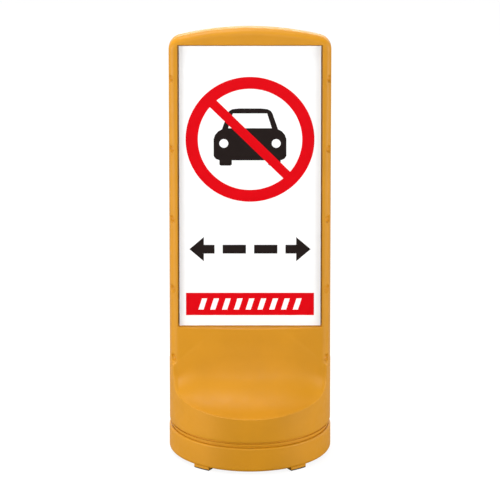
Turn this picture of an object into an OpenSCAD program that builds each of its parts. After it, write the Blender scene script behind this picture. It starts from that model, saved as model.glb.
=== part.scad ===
// Freestanding sign: a hollow moulded board that flares into a round, water-weighted drum, seated on
// a separate base ring, with a printed panel taped into a recess in its front.
// The origin is on the floor, under the middle of the stand. The panel faces -Y and +Z is up.

/* [Overall] */
// Height from the floor to the top of the arch
stand_h = 1200; // [1050:10:1350]
// Diameter of the base ring, which is the widest part
base_d = 440; // [410:2:480]
// How far the base ring stands out from the body above it
ring_proud = 1; // [0.5:0.5:3]
// Wall of the moulded body and of the base ring
wall = 4; // [3:0.5:5]

/* [Board] */
// Radius of the arched top
arch_r = 790; // [600:10:1000]
// Radius of the two upper corners
corner_r = 40; // [32:1:50]
// Thickness of the board along its arched top
board_top_t = 50; // [46:1:60]
// Thickness of the board at its foot, beside the panel
board_side_t = 140; // [124:2:156]
// How far each face bows out in the middle of its foot
face_bow = 14.5; // [8:0.5:20]
// Edge radius along the arched top
top_edge_r = 18; // [14:1:20]
// Edge radius at the foot of the board
foot_edge_r = 25; // [18:1:30]
// Height of the board's foot above the floor
board_foot_z = 250; // [240:2:270]

/* [Edge dimples] */
// Radius of the ball that shapes a dimple
dimple_ball_r = 12.5; // [10:0.5:14]
// Depth of a dimple
dimple_depth = 5; // [3:0.5:6]
// Height of the topmost dimples
dimple_top_z = 1067; // [1000:5:1100]
// Distance from one dimple to the next
dimple_pitch = 200; // [160:5:200]

/* [Drum] */
// Height of the drum's lower lip above the floor
drum_z = 91; // [86:1:96]
// Height of the drum's rim at the front, where the scooped shelf runs out
shelf_z = 158.5; // [152:0.5:166]
// Fall of the scooped shelf towards the rim
shelf_slope = 13.8; // [8:0.2:18]
// Radius of the scoop between the face and the shelf
scoop_r = 62; // [50:1:70]
// Rise of the drum's shoulder above the foot of the board
shoulder_rise = 12; // [8:1:16]
// Chamfer on the drum's lower lip
lip = 2.5; // [1:0.5:4]

/* [Panel] */
// Width of the sign panel
panel_w = 382; // [340:2:384]
// Height of the sign panel, along its lean
panel_h = 780; // [700:5:784]
// Height of the panel's lower edge above the floor
panel_z = 372; // [365:1:400]
// How far the panel's face lies behind the board's edge
panel_set_back = 9; // [6:0.5:10]
// Thickness of the rigid sheet
sheet_t = 3; // [2:0.5:4]
// Thickness of the printed film on the sheet
film_t = 0.5; // [0.4:0.1:0.8]
// Thickness of the foam tape behind the sheet
tape_t = 1.5; // [1:0.5:2]
// Width of a strip of foam tape
tape_w = 25; // [15:1:40]
// Gap all round between the panel and the walls of its recess
panel_gap = 3; // [2:0.5:4]

/* [Base ring] */
// Height of the ring's top edge above the floor
ring_top_z = 76; // [70:1:80]
// Radius of the ring's upper shoulder
ring_shoulder_r = 5; // [3:0.5:8]
// Radius of the ring's lower edge
ring_foot_r = 8; // [6:0.5:10]
// Depth of the groove between the ring and the drum
groove_depth = 7; // [5:0.5:9]
// Height of the register on which the body is centred
register_h = 6; // [4:0.5:8]
// Width of the flange under the ring
flange_w = 26; // [22:1:32]
// Thickness of a stiffening rib
rib_t = 3; // [2:0.5:4]
// Number of stiffening ribs
rib_count = 12; // [8:4:16]

/* [Feet] */
// Height of a moulded foot under the ring
foot_h = 5; // [4:0.5:7]
// Thickness of the rubber pad on a foot
pad_t = 3; // [2:0.5:4]
// Angle that a foot spans
foot_span = 13; // [10:1:16]
// Angle of the feet from the middle of the front and the back
foot_angle = 37.5; // [30:0.5:42]

/* [Fasteners] */
// Radius of the screws between the base ring and the body
screw_r = 3; // [2.5:0.5:4]
// Length of a screw under its washer
screw_l = 30; // [26:1:32]
// Distance of the screws inside the side of the base ring
screw_inset = 35; // [32:1:45]

/* [Filler and drain] */
// Distance of the middle of the filler neck inside the rear of the drum
filler_inset = 54; // [49:1:61]
// Radius of the filler's bore
filler_bore_r = 20; // [16:1:22]
// Wall of the filler neck
neck_wall = 5; // [4:0.5:6]
// Height of the filler neck's mouth above the floor
neck_z = 197; // [193:1:202]
// Wall of the filler cap
cap_wall = 4; // [3:0.5:5]
// Height of the drain above the floor
drain_z = 125; // [122:1:128]
// Radius of the drain's bore
drain_r = 12; // [9:0.5:13]
// Radius of the recess round the drain plug
drain_recess_r = 24; // [23:0.5:25]
// Depth of the recess round the drain plug
drain_recess_d = 26; // [24:0.5:30]
// Thickness of the two sealing rings
seal_t = 2.5; // [2:0.5:3]

/* [Hidden] */
$fn = 96;

// Shared clearances and overruns
over = 1;
fit_gap = 0.05;
part_gap = 0.5;

// Plan sizes
base_r = base_d / 2;
body_r = base_r - ring_proud;
board_set_in = 0.6;
board_r = body_r - board_set_in;
board_top_half = board_top_t / 2;
board_side_half = board_side_t / 2;

// Bowed faces at the foot of the board: each is an arc about an axis far behind it
bow_chord = board_r - foot_edge_r;
bow_r = (bow_chord * bow_chord + face_bow * face_bow) / (2 * face_bow);
bow_y = bow_r - board_side_half - face_bow;
board_root_h = 50;

// Arched top: the corner arcs touch the arch and the straight sides
corner_x = board_r - corner_r;
arch_z = stand_h - arch_r;
corner_z = arch_z + sqrt(pow(arch_r - corner_r, 2) - pow(corner_x, 2));
arch_half = asin(corner_x / (arch_r - corner_r));
arch_fn = 120;
hull_fn = 24;

// Centre of the rounded edge at the foot of the board
edge_in_r = board_r - foot_edge_r;
edge_bow_r = bow_r - foot_edge_r;
edge_foot_y = (pow(edge_bow_r, 2) - pow(edge_in_r, 2) - pow(bow_y, 2)) / (2 * bow_y);
edge_foot_x = sqrt(pow(edge_in_r, 2) - pow(edge_foot_y, 2));

// Lean of the panel and of its recess, which follows the board's edges
lean = atan((board_side_half - board_top_half) / (corner_z - board_foot_z));
panel_y = board_half_at(panel_z) - panel_set_back;
sheet_back = film_t + sheet_t;
recess_floor = sheet_back + tape_t;

// Drum and scoop
shoulder_z = board_foot_z + shoulder_rise;
shoulder_w = 30;
floor_z = drum_z + register_h;
face_bury = 1;
face_slope = (board_side_half + face_bow - board_top_half) / (stand_h - top_edge_r - board_foot_z);
scoop_steps = 20;
hollow_steps = 8;
rim_rho = bow_y + body_r;
scoop_c = shelf_z + tan(shelf_slope) * rim_rho;
scoop_reach = rim_rho + shoulder_w;
scoop_top = shoulder_z + 2 * shoulder_w;
scoop_half = asin((body_r + shoulder_w) / bow_r);
bend_y = board_side_half + face_bow - face_bury + scoop_r;
bend_axis_z = shelf_at(bend_y) + scoop_r / cos(shelf_slope);

// Base ring
ring_z = foot_h + pad_t;
neck_r = body_r - groove_depth;
register_r = neck_r - 2 * wall;
bead_r = neck_r + groove_depth / 2;
bead_h = (drum_z - ring_top_z) / 3;
hub_r = 40;
rib_z = ring_top_z / 2;
foot_out_r = base_r - ring_foot_r / 4;
foot_in_r = base_r - flange_w + 2 * ring_proud;

// Fasteners
washer_t = 1.6;
washer_r = 2 * screw_r + 1;
head_r = screw_r * 1.7;
head_h = screw_r * 1.2;
hex_sides = 6;
socket_share = 0.55;
screw_seat_z = floor_z - 4 * wall;
column_r = washer_r + 3;
column_z = rib_z;
insert_r = screw_r + 2;
insert_h = 18;
boss_r = insert_r + wall;
boss_h = insert_h + wall;
screw_angles = [45, 135, 225, 315];

// Filler
filler_y = body_r - filler_inset;
neck_out_r = filler_bore_r + neck_wall;
pad_r = neck_out_r + 2 * wall;
bend_rise = scooped_at(filler_y - pad_r) - shelf_at(filler_y - pad_r);
pad_z = shelf_at(filler_y - pad_r) + bend_rise + over;
mouth_z = neck_z + bend_rise;
cap_gap = 2;
cap_r = neck_out_r + cap_wall;
cap_z = pad_z + cap_gap;
cap_top_z = mouth_z + seal_t + cap_wall;
grip_r = 1.8;
grip_count = 24;
cap_dish_share = 0.5;

// Drain
drain_floor_y = body_r - drain_recess_d;
drain_boss_r = drain_r + wall;
drain_boss_l = 10;
drain_flange_r = drain_boss_r + 3;
drain_flange_t = 4;
drain_grip_t = 7;
drain_grip_w = 8;
drain_shank_l = 12;

// Half the thickness of the board beside the panel at height z
function board_half_at(z) = board_top_half + (board_side_half - board_top_half) * edge_share(z);

// How far down the board's straight edge the height z lies, from 0 at its top to 1 at its foot
function edge_share(z) = (corner_z - z) / (corner_z - board_foot_z);

// A size that runs evenly from its value at the top of the edge to its value at the foot
function along_edge(top, foot, z) = top + (foot - top) * edge_share(z);

// Height of the shelf on the middle line, at the distance y from the middle of the stand
function shelf_at(y) = shelf_z + tan(shelf_slope) * (body_r - y);

// Height of the drum's scooped surface on the middle line: the shelf, or the bend that rises from it
function scooped_at(y) =
    bend_y - y < scoop_r * sin(shelf_slope) ? shelf_at(y)
        : bend_axis_z - sqrt(pow(scoop_r, 2) - pow(min(scoop_r, bend_y - y), 2));

// The rounded edge of the arched top, as a path of two circles turned about the Y axis
module edge_rail(path_r, start, sweep, inset, fn) {
    rotate([90, 0, 0]) rotate([0, 0, start])
        rotate_extrude(angle = sweep, $fn = fn)
            for (side = [-1, 1])
                translate([path_r - top_edge_r, side * (board_top_half - top_edge_r)])
                    circle(r = top_edge_r - inset, $fn = hull_fn);
}

// Plan of the board at its foot: two bowed faces between the drum's round sides
module foot_outline(inset) {
    offset(r = foot_edge_r - inset, $fn = 2 * hull_fn) offset(delta = -foot_edge_r)
        intersection() {
            circle(r = board_r, $fn = arch_fn);
            translate([0, bow_y]) circle(r = bow_r, $fn = 4 * arch_fn);
            translate([0, -bow_y]) circle(r = bow_r, $fn = 4 * arch_fn);
        }
}

// The board: a slim rounded arch above, blended down to the bowed foot
module board(inset = 0) {
    hull() {
        translate([0, 0, arch_z])
            edge_rail(arch_r, 90 - arch_half, 2 * arch_half, inset, arch_fn);
        for (side = [-1, 1])
            translate([side * corner_x, 0, corner_z])
                edge_rail(corner_r, side > 0 ? 0 : 90, 90, inset, hull_fn);
        translate([0, 0, board_foot_z - board_root_h])
            linear_extrude(board_root_h) foot_outline(inset);
    }
}

// The round drum with its conical shoulder, before it is scooped
module drum(inset = 0) {
    low_z = inset > 0 ? floor_z + inset : drum_z;
    side_r = body_r - inset;
    top_z = shoulder_z - inset * (sqrt(2) - 1);
    rotate_extrude()
        polygon([
            [0, low_z], [side_r - lip, low_z], [side_r, low_z + lip], [side_r, top_z],
            [side_r - shoulder_w, top_z + shoulder_w], [0, top_z + shoulder_w]
        ]);
}

// What the scoop takes from one side of the drum: down the face, round, and out along the shelf
module scoop(grow = 0, steps = scoop_steps) {
    bend_r = scoop_r + grow;
    face_rho = bow_r - face_bury - grow;
    bend_rho = face_rho + bend_r;
    low_c = scoop_c - grow / cos(shelf_slope);
    bend_z = low_c - tan(shelf_slope) * bend_rho + bend_r / cos(shelf_slope);
    lean_z = max(board_foot_z, bend_z + over);
    translate([0, bow_y, 0]) rotate([0, 0, -90 - scoop_half])
        rotate_extrude(angle = 2 * scoop_half, $fn = arch_fn)
            polygon(concat(
                [[scoop_reach, low_c - tan(shelf_slope) * scoop_reach], [scoop_reach, scoop_top],
                    [face_rho - face_slope * (scoop_top - lean_z), scoop_top], [face_rho, lean_z]],
                [for (i = [0 : steps]) let (a = 180 + i / steps * (90 - shelf_slope))
                    [bend_rho + bend_r * cos(a), bend_z + bend_r * sin(a)]]
            ));
}

// The frame of a panel: X across, Z up along the lean, and the panel's face at Y zero, facing -Y
module panel_frame(side = -1) {
    mirror([0, side > 0 ? 1 : 0, 0])
        translate([0, -panel_y, panel_z]) rotate([-lean, 0, 0]) children();
}

// The recess for a panel, in the panel's own frame
module recess(grow = 0) {
    wide = panel_w + 2 * panel_gap + 2 * grow;
    high = panel_h + 2 * panel_gap + 2 * grow;
    deep = board_side_t + recess_floor + grow;
    translate([-wide / 2, recess_floor + grow - deep, -panel_gap - grow]) cube([wide, deep, high]);
}

// The dimples along the rounded edges, front and back
module dimples(grow = 0) {
    out = dimple_ball_r - dimple_depth;
    for (z = [dimple_top_z : -dimple_pitch : board_foot_z]) {
        edge_r = along_edge(top_edge_r, foot_edge_r, z) + out;
        x = along_edge(board_r - top_edge_r, edge_foot_x, z) + edge_r * cos(45);
        y = along_edge(board_top_half - top_edge_r, edge_foot_y, z) + edge_r * sin(45);
        for (mx = [-1, 1], my = [-1, 1])
            translate([mx * x, my * y, z]) sphere(r = dimple_ball_r + grow);
    }
}

// A cylinder that lies along Y, from y0 to y1, at the height of the drain
module drain_rod(r, y0, y1) {
    translate([0, y0, drain_z]) rotate([-90, 0, 0]) cylinder(r = r, h = y1 - y0);
}

// Copies of a piece round the circle of screws
module at_screws() {
    for (a = screw_angles) rotate([0, 0, a]) translate([base_r - screw_inset, 0, 0]) children();
}

// The hollow inside the body
module body_hollow() {
    difference() {
        union() {
            board(wall);
            difference() {
                drum(wall);
                scoop(wall, hollow_steps);
                mirror([0, 1, 0]) scoop(wall, hollow_steps);
            }
        }
        for (side = [-1, 1]) panel_frame(side) recess(wall);
        dimples(wall);
        drain_rod(drain_recess_r + wall, drain_floor_y - wall, base_r);
        drain_rod(drain_boss_r, drain_floor_y - wall - drain_boss_l, drain_floor_y);
        at_screws() translate([0, 0, floor_z]) cylinder(r = boss_r, h = boss_h);
    }
}

module body_shell() {
    color("orange") difference() {
        union() {
            board();
            difference() {
                drum();
                scoop();
                mirror([0, 1, 0]) scoop();
            }
            translate([0, filler_y, shelf_z]) cylinder(r = pad_r, h = pad_z - shelf_z);
            translate([0, filler_y, shelf_z]) cylinder(r = neck_out_r, h = mouth_z - shelf_z);
        }
        body_hollow();
        for (side = [-1, 1]) panel_frame(side) recess();
        dimples();
        translate([0, 0, drum_z - over]) cylinder(r = register_r + part_gap, h = register_h + over);
        translate([0, filler_y, shelf_z - scoop_r / 2])
            cylinder(r = filler_bore_r, h = mouth_z - shelf_z + scoop_r / 2 + over);
        drain_rod(drain_recess_r, drain_floor_y, base_r);
        drain_rod(drain_r, drain_floor_y - wall - drain_boss_l - over, drain_floor_y + over);
        at_screws() translate([0, 0, floor_z - over])
            cylinder(r = insert_r + fit_gap, h = insert_h + over);
    }
}

// Cross-section of the base ring, from its middle to its outer wall
module base_section() {
    difference() {
        union() {
            translate([0, ring_z]) square([base_r - ring_foot_r, ring_top_z - ring_z]);
            translate([0, ring_z + ring_foot_r])
                square([base_r, ring_top_z - ring_shoulder_r - ring_z - ring_foot_r]);
            translate([base_r - ring_foot_r, ring_z + ring_foot_r])
                intersection() {
                    circle(r = ring_foot_r);
                    translate([0, -ring_foot_r]) square(ring_foot_r);
                }
            translate([0, ring_top_z - ring_shoulder_r])
                square([base_r - ring_shoulder_r, ring_shoulder_r]);
            translate([base_r - ring_shoulder_r, ring_top_z - ring_shoulder_r])
                intersection() {
                    circle(r = ring_shoulder_r);
                    square(ring_shoulder_r);
                }
            translate([0, ring_top_z - over]) square([neck_r, drum_z - ring_top_z + over]);
            translate([0, ring_top_z + bead_h]) square([bead_r, bead_h]);
            translate([0, drum_z - over]) square([register_r, register_h + over]);
        }
        translate([-over, ring_z - over]) square([base_r - flange_w + over, ring_top_z - ring_z + over - wall]);
        translate([-over, ring_z + wall]) square([base_r - wall + over, ring_top_z - ring_z - 2 * wall]);
        translate([-over, ring_top_z - wall - over])
            square([neck_r - wall + over, drum_z - ring_top_z + over]);
        translate([-over, drum_z - wall - over])
            square([register_r - wall + over, register_h + over]);
    }
}

module base_ring() {
    color("orange") difference() {
        union() {
            rotate_extrude() base_section();
            difference() {
                union() {
                    for (i = [0 : rib_count - 1])
                        rotate([0, 0, (i + 0.5) * 360 / rib_count])
                            translate([0, -rib_t / 2, rib_z])
                                cube([neck_r - wall / 2, rib_t, ring_top_z - rib_z]);
                    for (i = [0 : rib_count - 1])
                        rotate([0, 0, (i + 0.5) * 360 / rib_count])
                            translate([0, -rib_t / 2, rib_z])
                                cube([register_r - wall / 2, rib_t, floor_z - wall / 2 - rib_z]);
                    translate([0, 0, rib_z]) cylinder(r = hub_r + rib_t, h = floor_z - wall / 2 - rib_z);
                    at_screws() translate([0, 0, column_z])
                        cylinder(r = column_r, h = floor_z - wall / 2 - column_z);
                }
                translate([0, 0, rib_z - over])
                    cylinder(r = hub_r, h = floor_z - wall - rib_z + over);
            }
            for (a = [foot_angle, 180 - foot_angle, 180 + foot_angle, -foot_angle])
                rotate([0, 0, a - 90]) foot_arc(foot_in_r, foot_out_r, pad_t, foot_h + wall / 2);
        }
        at_screws() {
            translate([0, 0, column_z - over])
                cylinder(r = washer_r + part_gap, h = screw_seat_z - column_z + over);
            translate([0, 0, screw_seat_z - over])
                cylinder(r = screw_r + part_gap, h = floor_z - screw_seat_z + 2 * over);
        }
    }
}

// A stretch of ring under the flange, centred on the +X axis
module foot_arc(r0, r1, z, h) {
    rotate([0, 0, -foot_span / 2]) rotate_extrude(angle = foot_span)
        translate([r0, z]) square([r1 - r0, h]);
}

module foot_pad(a) {
    color("dimgray") rotate([0, 0, a - 90])
        foot_arc(foot_in_r + part_gap, foot_out_r - part_gap, 0, pad_t);
}

module base_screws() {
    color("silver") at_screws() difference() {
        union() {
            translate([0, 0, screw_seat_z - washer_t]) cylinder(r = screw_r, h = screw_l);
            translate([0, 0, screw_seat_z - washer_t - head_h])
                cylinder(r = head_r, h = head_h);
        }
        translate([0, 0, screw_seat_z - washer_t - head_h - over])
            cylinder(r = head_r * socket_share, h = head_h / 2 + over, $fn = hex_sides);
    }
}

module screw_washers() {
    color("silver") at_screws() translate([0, 0, screw_seat_z - washer_t]) difference() {
        cylinder(r = washer_r, h = washer_t);
        translate([0, 0, -over]) cylinder(r = screw_r + fit_gap, h = washer_t + 2 * over);
    }
}

module screw_inserts() {
    color("goldenrod") at_screws() translate([0, 0, floor_z]) difference() {
        cylinder(r = insert_r, h = insert_h);
        translate([0, 0, -over]) cylinder(r = screw_r + fit_gap, h = insert_h - wall / 2 + over);
    }
}

module sign_sheet() {
    color("whitesmoke") panel_frame()
        translate([-panel_w / 2, film_t, 0]) cube([panel_w, sheet_t, panel_h]);
}

module sign_film() {
    color("white") panel_frame()
        translate([-panel_w / 2, 0, 0]) cube([panel_w, film_t, panel_h]);
}

// A strip of foam tape down the back of the sheet, centred at x
module tape(x) {
    color("gray") panel_frame()
        translate([x - tape_w / 2, sheet_back, tape_w / 2]) cube([tape_w, tape_t, panel_h - tape_w]);
}

module filler_cap() {
    color("black") translate([0, filler_y, 0]) difference() {
        union() {
            translate([0, 0, cap_z]) cylinder(r = cap_r, h = cap_top_z - cap_z);
            for (i = [0 : grip_count - 1])
                rotate([0, 0, i * 360 / grip_count]) translate([cap_r, 0, cap_z])
                    cylinder(r = grip_r, h = cap_top_z - cap_z - cap_wall / 2);
        }
        translate([0, 0, cap_z - over])
            cylinder(r = neck_out_r + fit_gap, h = mouth_z + seal_t + fit_gap - cap_z + over);
        translate([0, 0, cap_top_z - cap_wall / 2])
            cylinder(r = cap_r * cap_dish_share, h = cap_wall / 2 + over);
    }
}

module filler_seal() {
    color("dimgray") translate([0, filler_y, mouth_z]) difference() {
        cylinder(r = neck_out_r - part_gap, h = seal_t);
        translate([0, 0, -over]) cylinder(r = filler_bore_r, h = seal_t + 2 * over);
    }
}

module drain_plug() {
    seat = drain_floor_y + seal_t;
    color("black") {
        drain_rod(drain_r - fit_gap, seat - drain_shank_l - seal_t, seat + over);
        drain_rod(drain_flange_r, seat, seat + drain_flange_t);
        translate([-drain_flange_r + over, seat + drain_flange_t - over, drain_z - drain_grip_w / 2])
            cube([2 * (drain_flange_r - over), drain_grip_t + over, drain_grip_w]);
    }
}

module drain_seal() {
    color("dimgray") difference() {
        drain_rod(drain_boss_r, drain_floor_y, drain_floor_y + seal_t);
        drain_rod(drain_r, drain_floor_y - over, drain_floor_y + seal_t + over);
    }
}

body_shell();
base_ring();
foot_pad(-foot_angle);  // foot_pad_front_left
foot_pad(foot_angle);  // foot_pad_front_right
foot_pad(180 + foot_angle);  // foot_pad_rear_left
foot_pad(180 - foot_angle);  // foot_pad_rear_right
base_screws();
screw_washers();
screw_inserts();
sign_sheet();
sign_film();
tape(-panel_w / 3);  // tape_left
tape(0);  // tape_middle
tape(panel_w / 3);  // tape_right
filler_cap();
filler_seal();
drain_plug();
drain_seal();
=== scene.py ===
import math

import bmesh
import bpy
import numpy as np
from bpy.props import FloatProperty, FloatVectorProperty, IntProperty, PointerProperty
from mathutils import Matrix, Vector


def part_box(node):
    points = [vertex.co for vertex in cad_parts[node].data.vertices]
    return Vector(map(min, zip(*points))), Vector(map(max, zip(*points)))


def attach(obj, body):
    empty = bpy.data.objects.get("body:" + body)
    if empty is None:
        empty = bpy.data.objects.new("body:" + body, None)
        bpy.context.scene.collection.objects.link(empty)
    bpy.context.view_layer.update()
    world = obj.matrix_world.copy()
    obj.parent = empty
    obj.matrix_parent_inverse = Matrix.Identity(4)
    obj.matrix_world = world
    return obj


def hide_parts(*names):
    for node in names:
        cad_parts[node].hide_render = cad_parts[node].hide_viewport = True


bl_info = {
    "name": "Freestanding Sign",
    "version": (1, 0, 0),
    "blender": (4, 5, 0),
    "location": "View3D > Sidebar > Sign",
    "description": "Builds a moulded freestanding sign, its printed panel and its stage",
    "category": "Object",
}

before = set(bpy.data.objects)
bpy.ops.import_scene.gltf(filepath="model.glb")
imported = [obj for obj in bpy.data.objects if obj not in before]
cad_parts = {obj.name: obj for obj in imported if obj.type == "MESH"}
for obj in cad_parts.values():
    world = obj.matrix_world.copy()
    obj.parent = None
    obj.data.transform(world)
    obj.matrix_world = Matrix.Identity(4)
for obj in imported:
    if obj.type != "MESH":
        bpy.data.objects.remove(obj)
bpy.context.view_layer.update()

# The scoop starts this far inside the board's bowed face
FACE_BURY = 0.001


# Sizes, figures and colours; the sidebar shows the figures and the colours

def length_prop(name, description, default):
    """A length in metres"""
    return FloatProperty(name=name, description=description, default=default, unit='LENGTH')


def angle_prop(name, description, degrees):
    """An angle, given in degrees"""
    return FloatProperty(name=name, description=description, default=math.radians(degrees),
                         subtype='ANGLE')


def colour_prop(name, description, default):
    """A linear colour"""
    return FloatVectorProperty(name=name, description=description, default=default, size=3,
                               subtype='COLOR')


class SignSizes(bpy.types.PropertyGroup):
    """Sizes of the stand that the visible skin is worked out from"""
    stand_h: length_prop("Height", "Floor to the top of the arch", 1.2)
    body_r: length_prop("Drum radius", "Outer radius of the round drum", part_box("body_shell")[1][0])
    board_set_in: length_prop("Board set-in", "Board's side inside the drum's side", 0.0006)
    arch_r: length_prop("Arch radius", "Radius of the arched top", 0.79)
    corner_r: length_prop("Corner radius", "Radius of the upper corners", 0.04)
    top_t: length_prop("Top thickness", "Thickness along the arch", 0.05)
    side_t: length_prop("Foot thickness", "Thickness of the board at its foot", 0.14)
    face_bow: length_prop("Face bow", "How far each face bows out at its foot", 0.0145)
    top_edge_r: length_prop("Top edge radius", "Edge radius along the arch", 0.018)
    foot_edge_r: length_prop("Foot edge radius", "Edge radius at the foot", 0.025)
    foot_z: length_prop("Board foot height", "Height of the board's foot", 0.25)
    shoulder_z: length_prop("Shoulder height", "Height where the drum's shoulder starts", 0.262)
    drum_z: length_prop("Drum height", "Height of the drum's lower lip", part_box("body_shell")[0][2])
    shelf_z: length_prop("Shelf rim height", "Height of the drum's rim at the front", 0.1585)
    shelf_slope: angle_prop("Shelf slope", "Fall of the shelf towards the rim", 13.8)
    scoop_r: length_prop("Scoop radius",
                         "Radius between the face and the shelf at the sides", 0.062)
    scoop_mid_r: length_prop("Scoop middle radius",
                             "Radius between the face and the shelf in the middle", 0.135)
    scoop_blend: length_prop("Scoop blend", "Width over which the face turns into the scoop", 0.018)
    lip: length_prop("Lip", "Rounding of the drum's lower lip", 0.0025)
    dimple_ball_r: length_prop("Dimple ball", "Radius of the ball that shapes a dimple", 0.011)
    dimple_depth: length_prop("Dimple depth", "Depth of a dimple", 0.0095)
    dimple_top_z: length_prop("Top dimple height", "Height of the topmost dimples", 1.061)
    dimple_pitch: length_prop("Dimple pitch", "One dimple to the next", 0.195)
    dimple_turn: angle_prop("Dimple turn", "Turn of a dimple from the side to the face", 32)
    dimple_count: IntProperty(name="Dimples", description="Dimples down one edge", default=5)
    panel_w: length_prop("Panel width", "Width of the sign panel", 0.382)
    panel_h: length_prop("Panel height", "Height of the sign panel", 0.78)
    panel_z: length_prop("Panel lower edge", "Height of the panel's lower edge", 0.372)
    set_back: length_prop("Panel set-back", "Panel's face behind the board's edge", 0.009)
    panel_gap: length_prop("Panel gap", "Gap round the panel", 0.003)
    recess_floor: length_prop("Recess floor", "Recess floor behind the panel's face", 0.005)
    rim_r: length_prop("Recess rim", "Rounding of the recess's rim", 0.0016)
    drain_z: length_prop("Drain height", "Height of the drain", 0.125)
    drain_recess_r: length_prop("Drain recess", "Radius of the drain's recess", 0.024)
    drain_recess_d: length_prop("Drain depth", "Depth of the drain's recess", 0.026)


class SignGraphic(bpy.types.PropertyGroup):
    """Sizes of the printed figures on the panel"""
    ring_z: length_prop("Ring height", "Middle of the ring above the floor", 0.8925)
    ring_r: length_prop("Ring radius", "Outer radius of the ring", 0.1735)
    ring_w: length_prop("Ring width", "Width of the ring", 0.033)
    slash_w: length_prop("Slash width", "Width of the slash", 0.026)
    car_w: length_prop("Car width", "Width of the car", 0.196)
    car_drop: length_prop("Car drop", "Underside of the car below the middle of the ring", 0.058)
    arrow_z: length_prop("Arrow height", "Middle of the arrow above the floor", 0.5865)
    arrow_w: length_prop("Arrow length", "Length of the two-headed arrow", 0.328)
    arrow_h: length_prop("Arrow head", "Height of the arrow's heads", 0.068)
    dash_gap: length_prop("Dash gap", "Gap between two pieces of the arrow", 0.022)
    band_z: length_prop("Band height", "Middle of the band above the floor", 0.4325)
    band_w: length_prop("Band width", "Width of the band", 0.347)
    band_h: length_prop("Band depth", "Height of the band", 0.063)
    bar_pitch: length_prop("Bar pitch", "One white bar to the next", 0.032)
    bar_w: length_prop("Bar width", "Width of a white bar", 0.014)
    bar_shift: length_prop("Bar slant", "How far a bar's upper end is shifted", 0.01)
    bar_count: IntProperty(name="Bars", description="White bars on the band", default=9)


class SignColours(bpy.types.PropertyGroup):
    """Colours of the stand, linear"""
    body: colour_prop("Body", "Moulded plastic", (0.56, 0.237, 0.002))
    # Painted shade: this colour darkens the body's tint along the recess's sides and top, where the
    # recess's walls would be in shade
    recess: colour_prop("Recess", "Shade in the recess round the panel", (0.12, 0.045, 0.004))
    print_red: colour_prop("Red", "Red print", (0.64, 0.001, 0.005))
    print_black: colour_prop("Black", "Black print", (0.014, 0.009, 0.008))
    film: colour_prop("Film", "White film", (0.9, 0.9, 0.9))


# Materials

def new_material(name):
    """A node material with its Principled shader and output only"""
    mat = bpy.data.materials.new(name)
    mat.use_nodes = True
    return mat, mat.node_tree, mat.node_tree.nodes["Principled BSDF"]


def noise_factor(tree, scale, detail=3.0):
    """A noise on Object coordinates; returns its Fac socket"""
    coord = tree.nodes.new("ShaderNodeTexCoord")
    noise = tree.nodes.new("ShaderNodeTexNoise")
    noise.inputs["Scale"].default_value = scale
    noise.inputs["Detail"].default_value = detail
    tree.links.new(coord.outputs["Object"], noise.inputs["Vector"])
    return noise.outputs["Fac"]


def ranged(tree, source, low, high, to_low, to_high):
    """A smooth Map Range from source; returns its result socket"""
    node = tree.nodes.new("ShaderNodeMapRange")
    node.interpolation_type = 'SMOOTHSTEP'
    ends = {"From Min": low, "From Max": high, "To Min": to_low, "To Max": to_high}
    for key, value in ends.items():
        node.inputs[key].default_value = value
    tree.links.new(source, node.inputs["Value"])
    return node.outputs["Result"]


def mix_colours(tree, factor, first, second):
    """A colour mixed between two plain colours by a factor socket"""
    node = tree.nodes.new("ShaderNodeMix")
    node.data_type = 'RGBA'
    node.inputs[6].default_value = (*first, 1.0)
    node.inputs[7].default_value = (*second, 1.0)
    tree.links.new(factor, node.inputs[0])
    return node.outputs[2]


def bump(tree, height, distance, strength=1.0, normal=None):
    """A Bump node on a height socket; returns its normal socket"""
    node = tree.nodes.new("ShaderNodeBump")
    node.inputs["Distance"].default_value = distance
    node.inputs["Strength"].default_value = strength
    tree.links.new(height, node.inputs["Height"])
    if normal is not None:
        tree.links.new(normal, node.inputs["Normal"])
    return node.outputs["Normal"]


# The part of a noise's spread that a drifting colour or roughness follows
NOISE_LOW, NOISE_HIGH = 0.3, 0.7


def drifting_tint(tree, noise, dark, light):
    """A colour that drifts between two tints with a noise; returns its socket"""
    return mix_colours(tree, ranged(tree, noise, NOISE_LOW, NOISE_HIGH, 0.0, 1.0), dark, light)


def drifting_roughness(tree, shader, noise, low, high):
    """Gives the shader a roughness that drifts between two values with a noise"""
    tree.links.new(ranged(tree, noise, NOISE_LOW, NOISE_HIGH, low, high),
                   shader.inputs["Roughness"])


def shaded(colour, share):
    """The colour made darker or lighter by a share"""
    return tuple(min(1.0, c * share) for c in colour)


def maths(tree, operation, first, second=0.0):
    """A Math node on one or two sockets or numbers; returns its result socket"""
    node = tree.nodes.new("ShaderNodeMath")
    node.operation = operation
    for i, value in enumerate((first, second)):
        if isinstance(value, float):
            node.inputs[i].default_value = value
        else:
            tree.links.new(value, node.inputs[i])
    return node.outputs[0]


def coordinate_axes(tree, kind):
    """The X, Y and Z sockets of one of the texture coordinates"""
    coord = tree.nodes.new("ShaderNodeTexCoord")
    split = tree.nodes.new("ShaderNodeSeparateXYZ")
    tree.links.new(coord.outputs[kind], split.inputs[0])
    return split.outputs


# The painted shade of the recess: its full share, where it starts and ends as distances outside the
# recess's edge, and the height over which it comes up from the panel's foot
PAINTED_SHADE_SHARE = 0.62
PAINTED_SHADE_START, PAINTED_SHADE_END, PAINTED_SHADE_FOOT = (-0.0034, -0.0026), (0.0004, 0.0026), 0.006


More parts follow.
